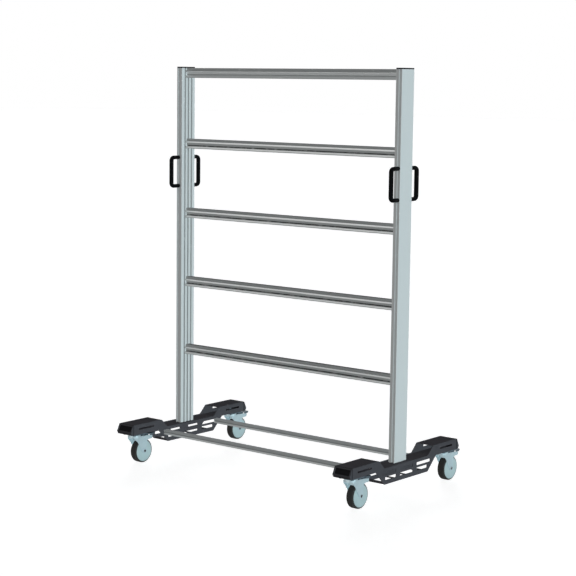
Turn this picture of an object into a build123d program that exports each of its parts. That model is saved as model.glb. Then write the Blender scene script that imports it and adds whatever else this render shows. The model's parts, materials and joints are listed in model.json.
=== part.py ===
from build123d import *

import math
import os

# Transport cart for hanging storage boxes. Two slotted uprights stand on long rolling feet and
# carry five horizontal rails. +X is to the right, -Y is the front and +Z is up. The origin lies
# on the ground, under the middle of the frame.

# Fits and clearances
running_clearance = 0.05
fit_clearance = 0.1
slip_clearance = 0.3
turning_gap = 0.4

# Uprights
upright_width = 28.0
upright_depth = 80.0
upright_length = 1514.0
upright_edge_radius = 1.0
upright_wall = 2.5
slot_opening = 8.0
slot_lip = 2.0
slot_inner_width = 14.0
slot_depth = 6.0
slot_pitch = 20.0
narrow_slot_offset = 4.0
core_boss_width = 14.0
cap_thickness = 5.0
cap_plug_length = 12.0

# Bin rails
rail_count = 5
rail_length = 1100.0
top_rail_pitch = 296.0
rail_pitch = 293.0
rail_depth = 34.4
rail_fin_thickness = 22.0
rail_fin_height = 9.6
rail_lip_height = 8.0
rail_slot_height = 13.2
rail_slot_depth = 7.2
rail_groove_height = 4.8
rail_groove_depth = 3.0
rail_foot_height = 10.2
rail_lip_radius = 3.4
rail_fin_chamber_width = 15.0
rail_fin_chamber_roof = 3.0
rail_chamber_width = 10.0
rail_chamber_roof = 5.0
rail_chamber_floor = 3.0

# Rail connectors and their set screws
connector_length = 40.0
connector_height = 20.0
connector_head_thickness = 3.4
set_screw_radius = 3.0
set_screw_inset = 20.0
set_screw_recess = 0.5
set_screw_socket_radius = 1.5
set_screw_socket_depth = 2.0

# Handles
handle_above_deck = 1079.5
handle_pitch = 120.0
handle_reach = 51.5
handle_thickness = 16.0
handle_width = 19.4
handle_bend_radius = 13.0
handle_stud_radius = 3.0
handle_stud_engagement = 14.0
slot_nut_length = 16.0
slot_nut_thickness = 3.4

# Feet
foot_width = 82.0
foot_length = 696.0
foot_offset = 4.0
wall_thickness = 3.0
wall_bend_radius = 8.0
floor_thickness = 4.0
cover_thickness = 3.0
cover_setback = 3.0
deck_length = 293.0
deck_edge_rise = 3.0
lowered_length = 290.0
raised_height = 42.0
lowered_drop = 57.0
end_strip_width = 14.0
end_strip_thickness = 7.0
end_strip_inset = 4.0
middle_strip_width = 6.0
middle_strip_thickness = 5.0
middle_strip_spacing = 78.0
end_cap_top_reach = 4.0
end_cap_reach = 19.0
end_cap_knee = 11.0
end_cap_bottom_reach = 12.0
end_cap_rim = 6.0
end_cap_recess = 3.0
end_cap_plug_length = 4.5

# Windows and slots in the foot walls
window_length = 85.0
window_post = 26.5
window_end_margin = 28.3
window_corner_radius = 3.0
window_height = 12.0
window_top_margin = 6.5
window_row_strip = 9.0
raised_slot_length = 90.0
raised_slot_height = 7.5
raised_slot_end_margin = 75.0
raised_slot_rise = 22.5

# Tie rails between the feet
tie_size = 20.0
tie_spacing = 318.0
tie_drop = 3.5
tie_slot_opening = 5.0
tie_slot_lip = 1.8
tie_slot_inner_width = 8.0
tie_slot_depth = 5.6
tie_screw_radius = 2.5
tie_screw_engagement = 18.0
tie_screw_head_radius = 4.25
tie_screw_head_height = 3.0

# Screws from the floor plates up into the uprights
base_screw_radius = 4.0
base_screw_engagement = 30.0
base_screw_head_radius = 6.5
base_screw_head_height = 8.0
base_screw_socket_radius = 3.4
base_screw_socket_depth = 4.0

# Casters: place, wheel and tyre
caster_inset = 43.0
trail = 41.5
wheel_radius = 50.0
tyre_width = 32.0
tyre_thickness = 6.0
tyre_shoulder_radius = 5.5
wheel_width = 36.0
rim_bevel = 2.0
rim_face = 3.0
dish_depth = 0.8
dish_slope = 2.0
hub_radius = 11.0

# Casters: fork
fork_inner_width = 37.0
fork_plate = 2.2
fork_spread = 3.3
fork_spread_end = 4.0
fork_spread_run = 22.0
leg_end_radius = 12.0
leg_knee_reach = 33.5
leg_knee_rise = 26.0
leg_bend_reach = 43.5
leg_bend_rise = 42.0
leg_brow_reach = 56.5
leg_brow_rise = 55.0
leg_round = 9.0
arch_round = 14.0
fork_front_reach = 16.0
fork_shoulder_drop = 6.5
lobe_reach = 39.0
lobe_radius = 8.0
lobe_drop = 17.5
arch_clearance = 4.0
hood_wall = 4.0
hood_front_reach = 31.0
hood_rear_reach = 15.0
head_radius = 26.0
head_thickness = 12.0
head_gap = 3.0

# Casters: king pin, top plate and bolts
pin_radius = 6.0
pin_head_radius = 9.0
pin_head_height = 2.5
pin_flange_radius = 10.0
pin_flange_height = 4.0
pin_seat_depth = 5.0
race_radius = 24.0
race_height = 4.6
plate_thickness = 4.0
plate_width = 74.0
plate_length = 72.0
plate_corner_radius = 8.0
bolt_radius = 4.0
bolt_spacing_across = 54.0
bolt_spacing_along = 52.0
bolt_head_radius = 7.0
bolt_head_height = 3.8
bolt_socket_radius = 2.9
bolt_socket_depth = 2.0
bolt_end = 2.0
nut_across_flats = 13.0
nut_height = 6.5

# Casters: axle
axle_radius = 4.0
axle_head_radius = 6.5
axle_head_height = 1.2
axle_socket_radius = 3.4
axle_socket_depth = 4.0
axle_end = 1.0
axle_nut_height = 5.0
sleeve_radius = 6.0

# Casters: brake lever
brake_pin_radius = 3.0
brake_pin_ahead = 6.0
brake_pin_rise = 62.0
lever_hub_radius = 5.5
lever_plate_rise = 11.0
lever_plate_thickness = 4.0
lever_side_gap = 0.8
lever_front_reach = 5.0
lever_length = 66.0
lever_droop_deg = 2.0
lever_travel_deg = 4.0
pedal_start = 27.0
pedal_width = 47.0
pedal_corner_radius = 9.0
skirt_thickness = 2.0
skirt_depth = 4.5
skirt_start = 33.0
skirt_length = 23.0
skirt_radius = 4.0
pad_start = 23.0
pad_length = 12.0
pad_width = 28.0
pad_gap = 0.8

# Heights that follow from the casters, from the wheel upwards
axle_height = wheel_radius
arch_radius = wheel_radius + arch_clearance
hood_radius = arch_radius + hood_wall
head_bottom = axle_height + hood_radius + head_gap
head_top = head_bottom + head_thickness
plate_bottom = head_top + turning_gap + race_height
floor_bottom = plate_bottom + plate_thickness
deck_height = floor_bottom + floor_thickness
deck_edge = deck_height + deck_edge_rise
raised_top = floor_bottom + raised_height
lowered_bottom = floor_bottom - lowered_drop
upright_top = deck_height + upright_length

# Places that follow across and along the cart
rail_half = rail_length / 2
upright_x = rail_half + upright_width / 2
narrow_slot_x = upright_x + narrow_slot_offset
foot_x = upright_x + foot_offset
foot_half = foot_length / 2
foot_inner_width = foot_width - 2 * wall_thickness
tie_length = 2 * (foot_x - foot_width / 2)
tie_y = tie_spacing / 2
tie_z = floor_bottom - tie_drop - tie_size / 2
caster_y = foot_half - caster_inset
deck_half = deck_length / 2
lowered_half = lowered_length / 2
raised_start = deck_half + raised_top - deck_edge
rail_height = rail_fin_height + rail_lip_height + rail_slot_height + rail_foot_height

SIDES = {"left": -1, "right": 1}
ENDS = {"front": -1, "rear": 1}
BOTTOM = (Align.CENTER, Align.CENTER, Align.MIN)
TOP = (Align.CENTER, Align.CENTER, Align.MAX)


def round_bar(radius, height, align=BOTTOM):
    """Upright cylinder that starts at the local origin."""
    return Cylinder(radius, height, align=align)


def across(shape):
    """Turn a piece that stands along +Z so that it lies along +X."""
    return Rot(0, 90, 0) * shape


def extrude_across(sketch, start, end):
    """Extrude a section drawn in Y and Z from one X to another."""
    return extrude(Plane.YZ.offset(start) * sketch, end - start)


def band(y_low, y_high, z_low, z_high):
    """Rectangle in the Y and Z section, given by its edges."""
    middle = Pos((y_low + y_high) / 2, (z_low + z_high) / 2)
    return middle * Rectangle(y_high - y_low, z_high - z_low)


def socket_screw(radius, length, head_radius, head_height, socket_radius, socket_depth):
    """Screw along +Z whose head sits below the origin, with a hexagon socket in the head."""
    head = round_bar(head_radius, head_height, TOP)
    socket = RegularPolygon(socket_radius, 6)
    recess = Pos(0, 0, -head_height) * extrude(socket, socket_depth)
    return head + round_bar(radius, length) - recess


def hexagon_nut(across_flats, height, hole_radius):
    """Hexagon nut that stands on the local origin."""
    outline = RegularPolygon(across_flats / 2, 6, major_radius=False)
    return extrude(outline - Circle(hole_radius), height)


def t_slot(opening, lip, inner_width, depth):
    """Section of a T-slot: its mouth lies on the local X axis and it runs towards -Y."""
    mouth = Pos(0, -lip / 2) * Rectangle(opening, lip)
    pocket = Pos(0, -(lip + depth) / 2) * Rectangle(inner_width, depth - lip)
    return mouth + pocket


def save(name, *solids):
    """Write one node, which holds one solid or a group of separate ones."""
    shape = solids[0] if len(solids) == 1 else Compound(children=list(solids))
    export_step(shape, f"parts/{name}.step")


# Uprights

chamber_left = -upright_width / 2 + slot_depth + upright_wall
chamber_right = upright_width / 2 - upright_wall
core_x = (chamber_left + chamber_right) / 2
chamber_width = chamber_right - chamber_left
chamber_depth = 2 * slot_pitch - core_boss_width


def upright():
    """Right-hand upright about its own middle; three slots face the cart's middle."""
    section = Rectangle(upright_width, upright_depth)
    section = fillet(section.vertices(), upright_edge_radius)
    slot = t_slot(slot_opening, slot_lip, slot_inner_width, slot_depth)
    for row in (-1, 0, 1):
        section -= Pos(-upright_width / 2, row * slot_pitch) * Rot(0, 0, 90) * slot
    section -= Pos(narrow_slot_offset, upright_depth / 2) * slot
    section -= Pos(narrow_slot_offset, -upright_depth / 2) * Rot(0, 0, 180) * slot
    section -= Pos(core_x, 0) * Rectangle(chamber_width, chamber_depth)
    for row in (-1, 1):
        section -= Pos(core_x, row * slot_pitch) * Circle(base_screw_radius + fit_clearance)
    return extrude(section, upright_length)


def upright_cap():
    """Plate on top of an upright, with a plug that goes down into its chamber."""
    outline = Rectangle(upright_width, upright_depth)
    outline = fillet(outline.vertices(), upright_edge_radius)
    plug = Box(chamber_width - 2 * slip_clearance, chamber_depth - 2 * slip_clearance,
               cap_plug_length, align=TOP)
    return extrude(outline, cap_thickness) + Pos(core_x, 0, 0) * plug


def place_on_side(side, piece, z):
    """Put a piece made for the right-hand upright on either upright."""
    turn = Rot(0, 0, 0 if side > 0 else 180)
    return Pos(side * upright_x, 0, z) * turn * piece


# Bin rails

chamber_top = rail_fin_height + rail_chamber_roof
chamber_bottom = rail_height - rail_chamber_floor


def bin_rail():
    """Rail along X; its section starts at Z = 0, the top of the fin, and runs down."""
    lip_bottom = -rail_fin_height - rail_lip_height
    foot_top = -rail_height + rail_foot_height
    half = rail_depth / 2
    core = half - rail_slot_depth
    neck = core - rail_groove_depth
    section = band(-rail_fin_thickness / 2, rail_fin_thickness / 2, -rail_fin_height, 0)
    section += band(-half, half, lip_bottom, -rail_fin_height)
    section += band(-core, core, foot_top + rail_groove_height, lip_bottom)
    section += band(-neck, neck, foot_top, foot_top + rail_groove_height)
    section += band(-half, half, -rail_height, foot_top)
    lips = [v for v in section.vertices() if abs(v.X) > half - rail_lip_radius]
    section = fillet(lips, rail_lip_radius)
    chamber_half = rail_chamber_width / 2
    section -= band(-chamber_half, chamber_half, -chamber_bottom, -chamber_top)
    fin_half = rail_fin_chamber_width / 2
    section -= band(-fin_half, fin_half, -rail_fin_height, -rail_fin_chamber_roof)
    rail = extrude_across(section, -rail_half, rail_half)
    for side in SIDES.values():
        hole = round_bar(set_screw_radius + fit_clearance, 2 * rail_chamber_floor)
        start = -rail_height - rail_chamber_floor
        rail -= Pos(side * (rail_half - set_screw_inset), 0, start) * hole
    return rail


connector_top = chamber_top + slip_clearance
connector_bottom = connector_top + connector_height


def rail_connector():
    """Bar in a rail's right end, with a T-head in the upright's middle slot."""
    half = rail_chamber_width / 2 - slip_clearance
    neck_half = slot_opening / 2 - slip_clearance
    head_half = slot_inner_width / 2 - slip_clearance
    head_start = rail_half + slot_lip + slip_clearance
    bar = extrude_across(band(-half, half, -connector_bottom, -connector_top),
                         rail_half - connector_length, rail_half)
    neck = extrude_across(band(-neck_half, neck_half, -connector_bottom, -connector_top),
                          rail_half, head_start)
    head = extrude_across(band(-head_half, head_half, -connector_bottom, -connector_top),
                          head_start, head_start + connector_head_thickness)
    return bar + neck + head


def set_screw():
    """Headless screw in a rail's floor that presses on the connector above it."""
    length = rail_height - set_screw_recess - connector_bottom
    socket = extrude(RegularPolygon(set_screw_socket_radius, 6), set_screw_socket_depth)
    screw = round_bar(set_screw_radius, length) - socket
    return Pos(rail_half - set_screw_inset, 0, -rail_height + set_screw_recess) * screw


# Handles

handle_low = deck_height + handle_above_deck - handle_pitch / 2
handle_high = handle_low + handle_pitch
narrow_face = upright_depth / 2
handle_line = narrow_face + handle_reach - handle_thickness / 2
stud_start = narrow_face - slot_lip - slot_nut_thickness


def along(shape):
    """Turn a piece that stands along +Z so that it lies along +Y."""
    return Rot(-90, 0, 0) * shape


def handle():
    """Bow handle on the rear narrow face of an upright at X = 0."""
    corners = [(0, narrow_face, handle_low), (0, handle_line, handle_low),
               (0, handle_line, handle_high), (0, narrow_face, handle_high)]
    path = FilletPolyline(*corners, radius=handle_bend_radius)
    start = Plane(path @ 0, x_dir=(1, 0, 0), z_dir=path % 0)
    tube = sweep(start * Ellipse(handle_width / 2, handle_thickness / 2), path)
    for z in (handle_low, handle_high):
        hole = round_bar(handle_stud_radius + fit_clearance, handle_stud_engagement + slip_clearance)
        tube -= Pos(0, narrow_face, z) * along(hole)
    return tube


def handle_stud():
    """Threaded stud from the slot nut into a handle's end, at Z = 0."""
    length = narrow_face + handle_stud_engagement - stud_start
    return Pos(0, stud_start, 0) * along(round_bar(handle_stud_radius, length))


def slot_nut():
    """Nut in the rear narrow slot, held against the slot's lips, at Z = 0."""
    nut = Box(slot_inner_width - 2 * slip_clearance, slot_nut_thickness, slot_nut_length,
              align=(Align.CENTER, Align.MIN, Align.CENTER))
    hole = along(round_bar(handle_stud_radius + fit_clearance, slot_nut_thickness))
    return Pos(0, stud_start, 0) * (nut - hole)


def place_on_face(side, end, piece, z=0.0):
    """Put a piece made for the rear narrow face on any narrow face."""
    turn = Rot(0, 0, 0 if end > 0 else 180)
    return Pos(side * narrow_slot_x, 0, z) * turn * piece


# Feet

upper_window_top = floor_bottom - window_top_margin
lower_window_top = upper_window_top - window_height - window_row_strip


def wall_windows(z_top):
    """Three windows of one row; the outer ones end at one distance from the wall's slope."""
    z_low = z_top - window_height
    start = window_length / 2 + window_post
    slope = lowered_half + (z_low + z_top) / 2 - lowered_bottom
    middle = band(-window_length / 2, window_length / 2, z_low, z_top)
    rear = band(start, slope - window_end_margin, z_low, z_top)
    rounded = [fillet(shape.vertices(), window_corner_radius) for shape in (middle, rear)]
    return rounded + [mirror(rounded[1], about=Plane.YZ)]


def foot_wall():
    """Wall of a foot in the Y and Z section: low in the middle, raised at both ends."""
    slope_top = lowered_half + lowered_drop
    rear = [(deck_half, deck_edge), (raised_start, raised_top), (foot_half, raised_top),
            (foot_half, floor_bottom), (slope_top, floor_bottom), (lowered_half, lowered_bottom)]
    front = [(-y, z) for y, z in reversed(rear)]
    outline = make_face(Polyline(*rear, *front, close=True))
    bends = [v for v in outline.vertices() if abs(v.X) < foot_half - wall_bend_radius]
    outline = fillet(bends, wall_bend_radius)
    for row_top in (upper_window_top, lower_window_top):
        for window in wall_windows(row_top):
            outline -= window
    slot_y = foot_half - raised_slot_end_margin
    for end in ENDS.values():
        outline -= Pos(end * slot_y, floor_bottom + raised_slot_rise) * SlotOverall(
            raised_slot_length, raised_slot_height)
    return outline


def outer_wall(side):
    outer = foot_x + foot_width / 2
    wall = extrude_across(foot_wall(), outer - wall_thickness, outer)
    return mirror(wall, about=Plane.YZ) if side < 0 else wall


def inner_wall(side):
    inner = foot_x - foot_width / 2
    wall = extrude_across(foot_wall(), inner, inner + wall_thickness)
    for end in ENDS.values():
        hole = across(round_bar(tie_screw_radius + fit_clearance, wall_thickness))
        wall -= Pos(inner, end * tie_y, tie_z) * hole
    return mirror(wall, about=Plane.YZ) if side < 0 else wall


def floor_plate(side):
    """Flat plate between a foot's walls that carries the upright and the casters."""
    plate = Box(foot_inner_width, foot_length, floor_thickness, align=BOTTOM)
    screw_hole = round_bar(base_screw_radius + slip_clearance, floor_thickness)
    bolt_hole = round_bar(bolt_radius + slip_clearance, floor_thickness)
    for end in ENDS.values():
        plate -= Pos(side * (core_x - foot_offset), end * slot_pitch, 0) * screw_hole
        for x, y in bolt_places:
            plate -= Pos(x, end * caster_y + y, 0) * bolt_hole
    return Pos(side * foot_x, 0, floor_bottom) * plate


def foot_cover(side, end):
    """Plate on top of a foot's raised end, between the walls."""
    start = raised_start + cover_setback
    length = foot_half - start
    plate = Box(foot_inner_width, length, cover_thickness, align=TOP)
    return Pos(side * foot_x, end * (start + length / 2), raised_top) * plate


def end_strip(side, end):
    """Strip that joins both walls at the front or rear of the lowered middle."""
    strip = Box(foot_inner_width, end_strip_width, end_strip_thickness, align=BOTTOM)
    middle = lowered_half - end_strip_inset - end_strip_width / 2
    return Pos(side * foot_x, end * middle, lowered_bottom) * strip


def middle_strip(side, end):
    """Thin strip that joins both walls under the upright."""
    strip = Box(foot_inner_width, middle_strip_width, middle_strip_thickness, align=BOTTOM)
    return Pos(side * foot_x, end * middle_strip_spacing / 2, lowered_bottom) * strip


def end_cap(side, end):
    """Cap on a foot's open end, with a sunk panel in its leaning face and a plug inside."""
    knee = (foot_half + end_cap_reach, floor_bottom + end_cap_knee)
    high = (foot_half + end_cap_top_reach, raised_top)
    low = (foot_half + end_cap_bottom_reach, floor_bottom)
    lean = (knee[0] - high[0]) / (high[1] - knee[1])
    section = make_face(Polyline((foot_half, floor_bottom), low, knee, high,
                                 (foot_half, raised_top), close=True))
    cap = extrude_across(section, -foot_width / 2, foot_width / 2)
    plug = band(foot_half - end_cap_plug_length, foot_half,
                deck_height + slip_clearance, raised_top - cover_thickness - slip_clearance)
    plug_half = foot_inner_width / 2 - slip_clearance
    cap += extrude_across(plug, -plug_half, plug_half)
    panel_low = knee[1] + end_cap_rim / 2
    panel_high = raised_top - end_cap_rim
    face_low = high[0] + lean * (raised_top - panel_low)
    face_high = high[0] + lean * (raised_top - panel_high)
    panel = make_face(Polyline((face_low - end_cap_recess, panel_low),
                               (face_low + end_cap_recess, panel_low),
                               (face_high + end_cap_recess, panel_high),
                               (face_high - end_cap_recess, panel_high), close=True))
    panel_half = foot_width / 2 - end_cap_rim
    cap -= extrude_across(panel, -panel_half, panel_half)
    return Pos(side * foot_x, 0, 0) * Rot(0, 0, 0 if end > 0 else 180) * cap


# Tie rails


def tie_rail(end):
    """Slotted square rail between the inner walls of the two feet."""
    section = Rectangle(tie_size, tie_size)
    slot = t_slot(tie_slot_opening, tie_slot_lip, tie_slot_inner_width, tie_slot_depth)
    for quarter in range(4):
        section -= Rot(0, 0, 90 * quarter) * Pos(0, tie_size / 2) * slot
    section -= Circle(tie_screw_radius + fit_clearance)
    section = Pos(end * tie_y, tie_z) * section
    return extrude_across(section, -tie_length / 2, tie_length / 2)


def tie_screw(side, end):
    """Screw from inside a foot through its inner wall into a tie rail's end."""
    screw = round_bar(tie_screw_radius, wall_thickness + tie_screw_engagement)
    head = round_bar(tie_screw_head_radius, tie_screw_head_height, TOP)
    start = Pos(side * (tie_length / 2 + wall_thickness), end * tie_y, tie_z)
    return start * Rot(0, -90 * side, 0) * (screw + head)


def base_screw(side, end):
    """Screw from under a floor plate up into the upright's core."""
    screw = socket_screw(base_screw_radius, floor_thickness + base_screw_engagement,
                         base_screw_head_radius, base_screw_head_height,
                         base_screw_socket_radius, base_screw_socket_depth)
    return Pos(side * (upright_x + core_x), end * slot_pitch, floor_bottom) * screw


# Casters, about a swivel axis at X = Y = 0 with the wheel trailing towards +Y

bolt_places = [(i * bolt_spacing_across / 2, j * bolt_spacing_along / 2)
               for i in (-1, 1) for j in (-1, 1)]
fork_half = fork_inner_width / 2
fork_outer = fork_half + fork_plate
brake_pin_place = Pos(0, trail - brake_pin_ahead, axle_height + brake_pin_rise)
axle_place = Pos(0, trail, axle_height)


def caster_plate():
    """Bolted top plate with the fixed bearing race under it."""
    outline = Rectangle(plate_width, plate_length)
    plate = extrude(fillet(outline.vertices(), plate_corner_radius), plate_thickness)
    plate += round_bar(race_radius, race_height, TOP)
    for x, y in bolt_places:
        plate -= Pos(x, y, 0) * round_bar(bolt_radius + slip_clearance, plate_thickness)
    plate -= Pos(0, 0, -race_height) * round_bar(pin_radius + fit_clearance, race_height + plate_thickness)
    seat = round_bar(pin_head_radius + fit_clearance, pin_head_height, TOP)
    plate -= Pos(0, 0, plate_thickness) * seat
    return Pos(0, 0, plate_bottom) * plate


def king_pin():
    """Riveted pin: a head let into the top plate, a shaft and a flange under the fork's head."""
    flange_top = head_bottom + pin_seat_depth - turning_gap
    shaft = round_bar(pin_radius, floor_bottom - flange_top + pin_flange_height)
    flange = round_bar(pin_flange_radius, pin_flange_height)
    head = Pos(0, 0, floor_bottom) * round_bar(pin_head_radius, pin_head_height, TOP)
    return Pos(0, 0, flange_top - pin_flange_height) * (shaft + flange) + head


def caster_bolt(x, y):
    """Low-headed bolt from under the top plate, through the foot's floor."""
    length = plate_thickness + floor_thickness + nut_height + bolt_end
    bolt = socket_screw(bolt_radius, length, bolt_head_radius, bolt_head_height,
                        bolt_socket_radius, bolt_socket_depth)
    return Pos(x, y, plate_bottom) * bolt


def caster_nut(x, y):
    nut = hexagon_nut(nut_across_flats, nut_height, bolt_radius + fit_clearance)
    return Pos(x, y, deck_height) * nut


def fork_side():
    """Outline of a fork's side plate: a leg down to the axle and a lobe behind it."""
    shoulder = head_top - fork_shoulder_drop
    lobe_y = trail + lobe_reach
    lobe_z = head_top - lobe_drop
    knee = (trail - leg_knee_reach, axle_height + leg_knee_rise)
    bend = (trail - leg_bend_reach, axle_height + leg_bend_rise)
    brow = (trail - leg_brow_reach, axle_height + leg_brow_rise)
    corner = (trail + leg_end_radius, lobe_z - lobe_radius)
    knee_angle = math.atan2(leg_knee_rise, -leg_knee_reach)
    touch_angle = knee_angle + math.acos(leg_end_radius / math.hypot(leg_knee_reach, leg_knee_rise))
    touch = (trail + leg_end_radius * math.cos(touch_angle),
             axle_height + leg_end_radius * math.sin(touch_angle))
    outline = make_face(Polyline((-fork_front_reach, shoulder), brow, bend, knee, touch,
                                 (trail, axle_height), (trail + leg_end_radius, axle_height), corner,
                                 (lobe_y, lobe_z - lobe_radius), (lobe_y, lobe_z + lobe_radius),
                                 (head_radius, shoulder), close=True))
    for point, radius in ((brow, leg_round), (bend, leg_round), (knee, leg_round), (corner, arch_round)):
        nearest = outline.vertices().sort_by_distance((*point, 0))[0]
        outline = fillet(nearest, radius)
    outline += Pos(trail, axle_height) * Circle(leg_end_radius)
    outline += Pos(lobe_y, lobe_z) * Circle(lobe_radius)
    return outline


def fork_hood():
    """Section of the hood over the wheel's front: an arch and the wall above it."""
    front = trail - hood_front_reach
    rear = trail - hood_rear_reach
    arch = Pos(trail, axle_height) * (Circle(hood_radius) - Circle(arch_radius))
    arch = arch & band(front, rear, axle_height, axle_height + hood_radius)
    arch_front = axle_height + math.sqrt(hood_radius**2 - hood_front_reach**2)
    wall = band(front, front + hood_wall, arch_front - hood_wall / 2, head_bottom + hood_wall)
    return arch + wall


def fork_plan(half):
    """Block as high as the fork: wide beside the swivel head, narrow beside the wheel."""
    wide = half + fork_spread
    narrow_start = fork_spread_end + fork_spread_run
    front = -2 * fork_front_reach
    rear = trail + lobe_reach + 2 * lobe_radius
    right = [(wide, front), (wide, fork_spread_end), (half, narrow_start), (half, rear)]
    left = [(-x, y) for x, y in reversed(right)]
    return extrude(make_face(Polyline(*right, *left, close=True)), head_top)


def fork():
    """Fork with its swivel head, two legs and the hood between them."""
    reach = fork_outer + fork_spread
    outside = fork_plan(fork_outer)
    body = extrude_across(fork_side(), -reach, reach) & (outside - fork_plan(fork_half))
    body += extrude_across(fork_hood(), -reach, reach) & outside
    body += Pos(0, 0, head_bottom) * round_bar(head_radius, head_thickness)
    body -= Pos(0, 0, head_bottom) * round_bar(pin_flange_radius + turning_gap, pin_seat_depth)
    body -= Pos(0, 0, head_bottom) * round_bar(pin_radius + running_clearance, head_thickness)
    width = 2 * fork_outer
    body -= axle_place * across(Cylinder(axle_radius + fit_clearance, width))
    body -= brake_pin_place * across(Cylinder(brake_pin_radius + fit_clearance, width))
    return body


def axle_bolt():
    bolt = socket_screw(axle_radius, 2 * fork_outer + axle_nut_height + axle_end, axle_head_radius,
                        axle_head_height, axle_socket_radius, axle_socket_depth)
    return axle_place * Pos(fork_outer, 0, 0) * Rot(0, -90, 0) * bolt


def axle_nut():
    nut = hexagon_nut(nut_across_flats, axle_nut_height, axle_radius + fit_clearance)
    return axle_place * Pos(-fork_outer, 0, 0) * Rot(0, -90, 0) * nut


def axle_sleeve():
    bore = Cylinder(axle_radius + fit_clearance, fork_inner_width)
    sleeve = Cylinder(sleeve_radius, fork_inner_width) - bore
    return axle_place * across(sleeve)


def brake_pin():
    return brake_pin_place * across(Cylinder(brake_pin_radius, 2 * fork_outer))


rim_radius = wheel_radius - tyre_thickness - fit_clearance


def wheel():
    """Wheel body turned about the axle: hub, dished disc and rim."""
    face = wheel_width / 2
    dish = face - dish_depth
    bore = sleeve_radius + running_clearance
    rim_edge = rim_radius - rim_bevel
    right = [(face, bore), (face, hub_radius), (dish, hub_radius + dish_slope),
             (dish, rim_edge - rim_face - dish_slope), (face, rim_edge - rim_face),
             (face, rim_edge), (tyre_width / 2, rim_radius)]
    left = [(-x, r) for x, r in reversed(right)]
    section = make_face(Polyline(*right, *left, close=True))
    return axle_place * revolve(section, Axis.X)


def tyre():
    """Rubber tread round the rim, with rounded shoulders."""
    inner = wheel_radius - tyre_thickness
    section = Pos(0, (wheel_radius + inner) / 2) * Rectangle(tyre_width, tyre_thickness)
    shoulders = section.vertices().group_by(Axis.Y)[-1]
    return axle_place * revolve(fillet(shoulders, tyre_shoulder_radius), Axis.X)


def brake_lever():
    """Lever between the fork's plates: hub, plate, wide pedal and a pad over the tyre."""
    plate_low = lever_plate_rise - lever_plate_thickness
    plate_width = fork_inner_width - 2 * lever_side_gap
    arm_length = lever_front_reach + lever_length
    arm = Pos(0, (lever_length - lever_front_reach) / 2) * Rectangle(plate_width, arm_length)
    pedal_length = lever_length - pedal_start
    pedal = Rectangle(pedal_width, pedal_length)
    pedal = Pos(0, pedal_start + pedal_length / 2) * fillet(pedal.vertices(), pedal_corner_radius)
    outline = arm - Pos(0, pedal_start + pedal_length) * Rectangle(pedal_width, pedal_length) + pedal
    lever = Pos(0, 0, plate_low) * extrude(outline, lever_plate_thickness)
    skirt = band(skirt_start, skirt_start + skirt_length, plate_low - skirt_depth, lever_plate_rise)
    lower = skirt.vertices().group_by(Axis.Y)[0]
    skirt = fillet(lower, skirt_radius)
    for outer in (pedal_width / 2, skirt_thickness - pedal_width / 2):
        lever += extrude_across(skirt, outer - skirt_thickness, outer)
    lever += across(Cylinder(lever_hub_radius, plate_width))
    web = Box(plate_width, lever_front_reach + lever_hub_radius, plate_low,
              align=(Align.CENTER, Align.MIN, Align.MIN))
    lever += Pos(0, -lever_front_reach, 0) * web
    # The pad is shaped to the tyre at the end of the lever's travel
    pressed = math.radians(lever_droop_deg + lever_travel_deg)
    wheel_y = brake_pin_ahead * math.cos(pressed) + brake_pin_rise * math.sin(pressed)
    wheel_z = brake_pin_ahead * math.sin(pressed) - brake_pin_rise * math.cos(pressed)
    pad = Box(pad_width, pad_length, plate_low - wheel_z, align=(Align.CENTER, Align.MIN, Align.MAX))
    pad = Pos(0, pad_start, plate_low) * pad
    pad -= Pos(0, wheel_y, wheel_z) * across(Cylinder(wheel_radius + pad_gap, pad_width))
    lever += pad
    lever -= across(Cylinder(brake_pin_radius + running_clearance, plate_width))
    return brake_pin_place * Rot(-lever_droop_deg, 0, 0) * lever


# The whole cart, one file for each node

os.makedirs("parts", exist_ok=True)

corners = [(side_name, side, end_name, end)
           for side_name, side in SIDES.items() for end_name, end in ENDS.items()]

for name, side in SIDES.items():
    save(f"{name}_upright", place_on_side(side, upright(), deck_height))
    save(f"{name}_upright_cap", place_on_side(side, upright_cap(), upright_top))
    save(f"{name}_foot_outer_wall", outer_wall(side))
    save(f"{name}_foot_inner_wall", inner_wall(side))
    save(f"{name}_foot_floor_plate", floor_plate(side))
    save(f"{name}_foot_covers", *[foot_cover(side, end) for end in ENDS.values()])
    save(f"{name}_foot_end_caps", *[end_cap(side, end) for end in ENDS.values()])

end_strips = [end_strip(side, end) for _, side, _, end in corners]
middle_strips = [middle_strip(side, end) for _, side, _, end in corners]
save("foot_cross_strips", *end_strips, *middle_strips)
save("upright_base_screws", *[base_screw(side, end) for _, side, _, end in corners])

rail_levels = [upright_top]
rail_levels += [upright_top - top_rail_pitch - number * rail_pitch for number in range(rail_count - 1)]
for number, level in enumerate(rail_levels, start=1):
    save(f"bin_rail_{number}", Pos(0, 0, level) * bin_rail())
half_turns = [Rot(0, 0, 0), Rot(0, 0, 180)]
rail_ends = [Pos(0, 0, z) * turn for z in rail_levels for turn in half_turns]
save("rail_connectors", *[rail_end * rail_connector() for rail_end in rail_ends])
save("rail_set_screws", *[rail_end * set_screw() for rail_end in rail_ends])

for name, end in ENDS.items():
    save(f"{name}_tie_rail", tie_rail(end))
save("tie_rail_screws", *[tie_screw(side, end) for _, side, _, end in corners])

for side_name, side, end_name, end in corners:
    save(f"{end_name}_{side_name}_handle", place_on_face(side, end, handle()))
handle_heights = (handle_low, handle_high)
save("handle_studs",
     *[place_on_face(side, end, handle_stud(), z) for _, side, _, end in corners for z in handle_heights])
save("handle_slot_nuts",
     *[place_on_face(side, end, slot_nut(), z) for _, side, _, end in corners for z in handle_heights])

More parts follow.
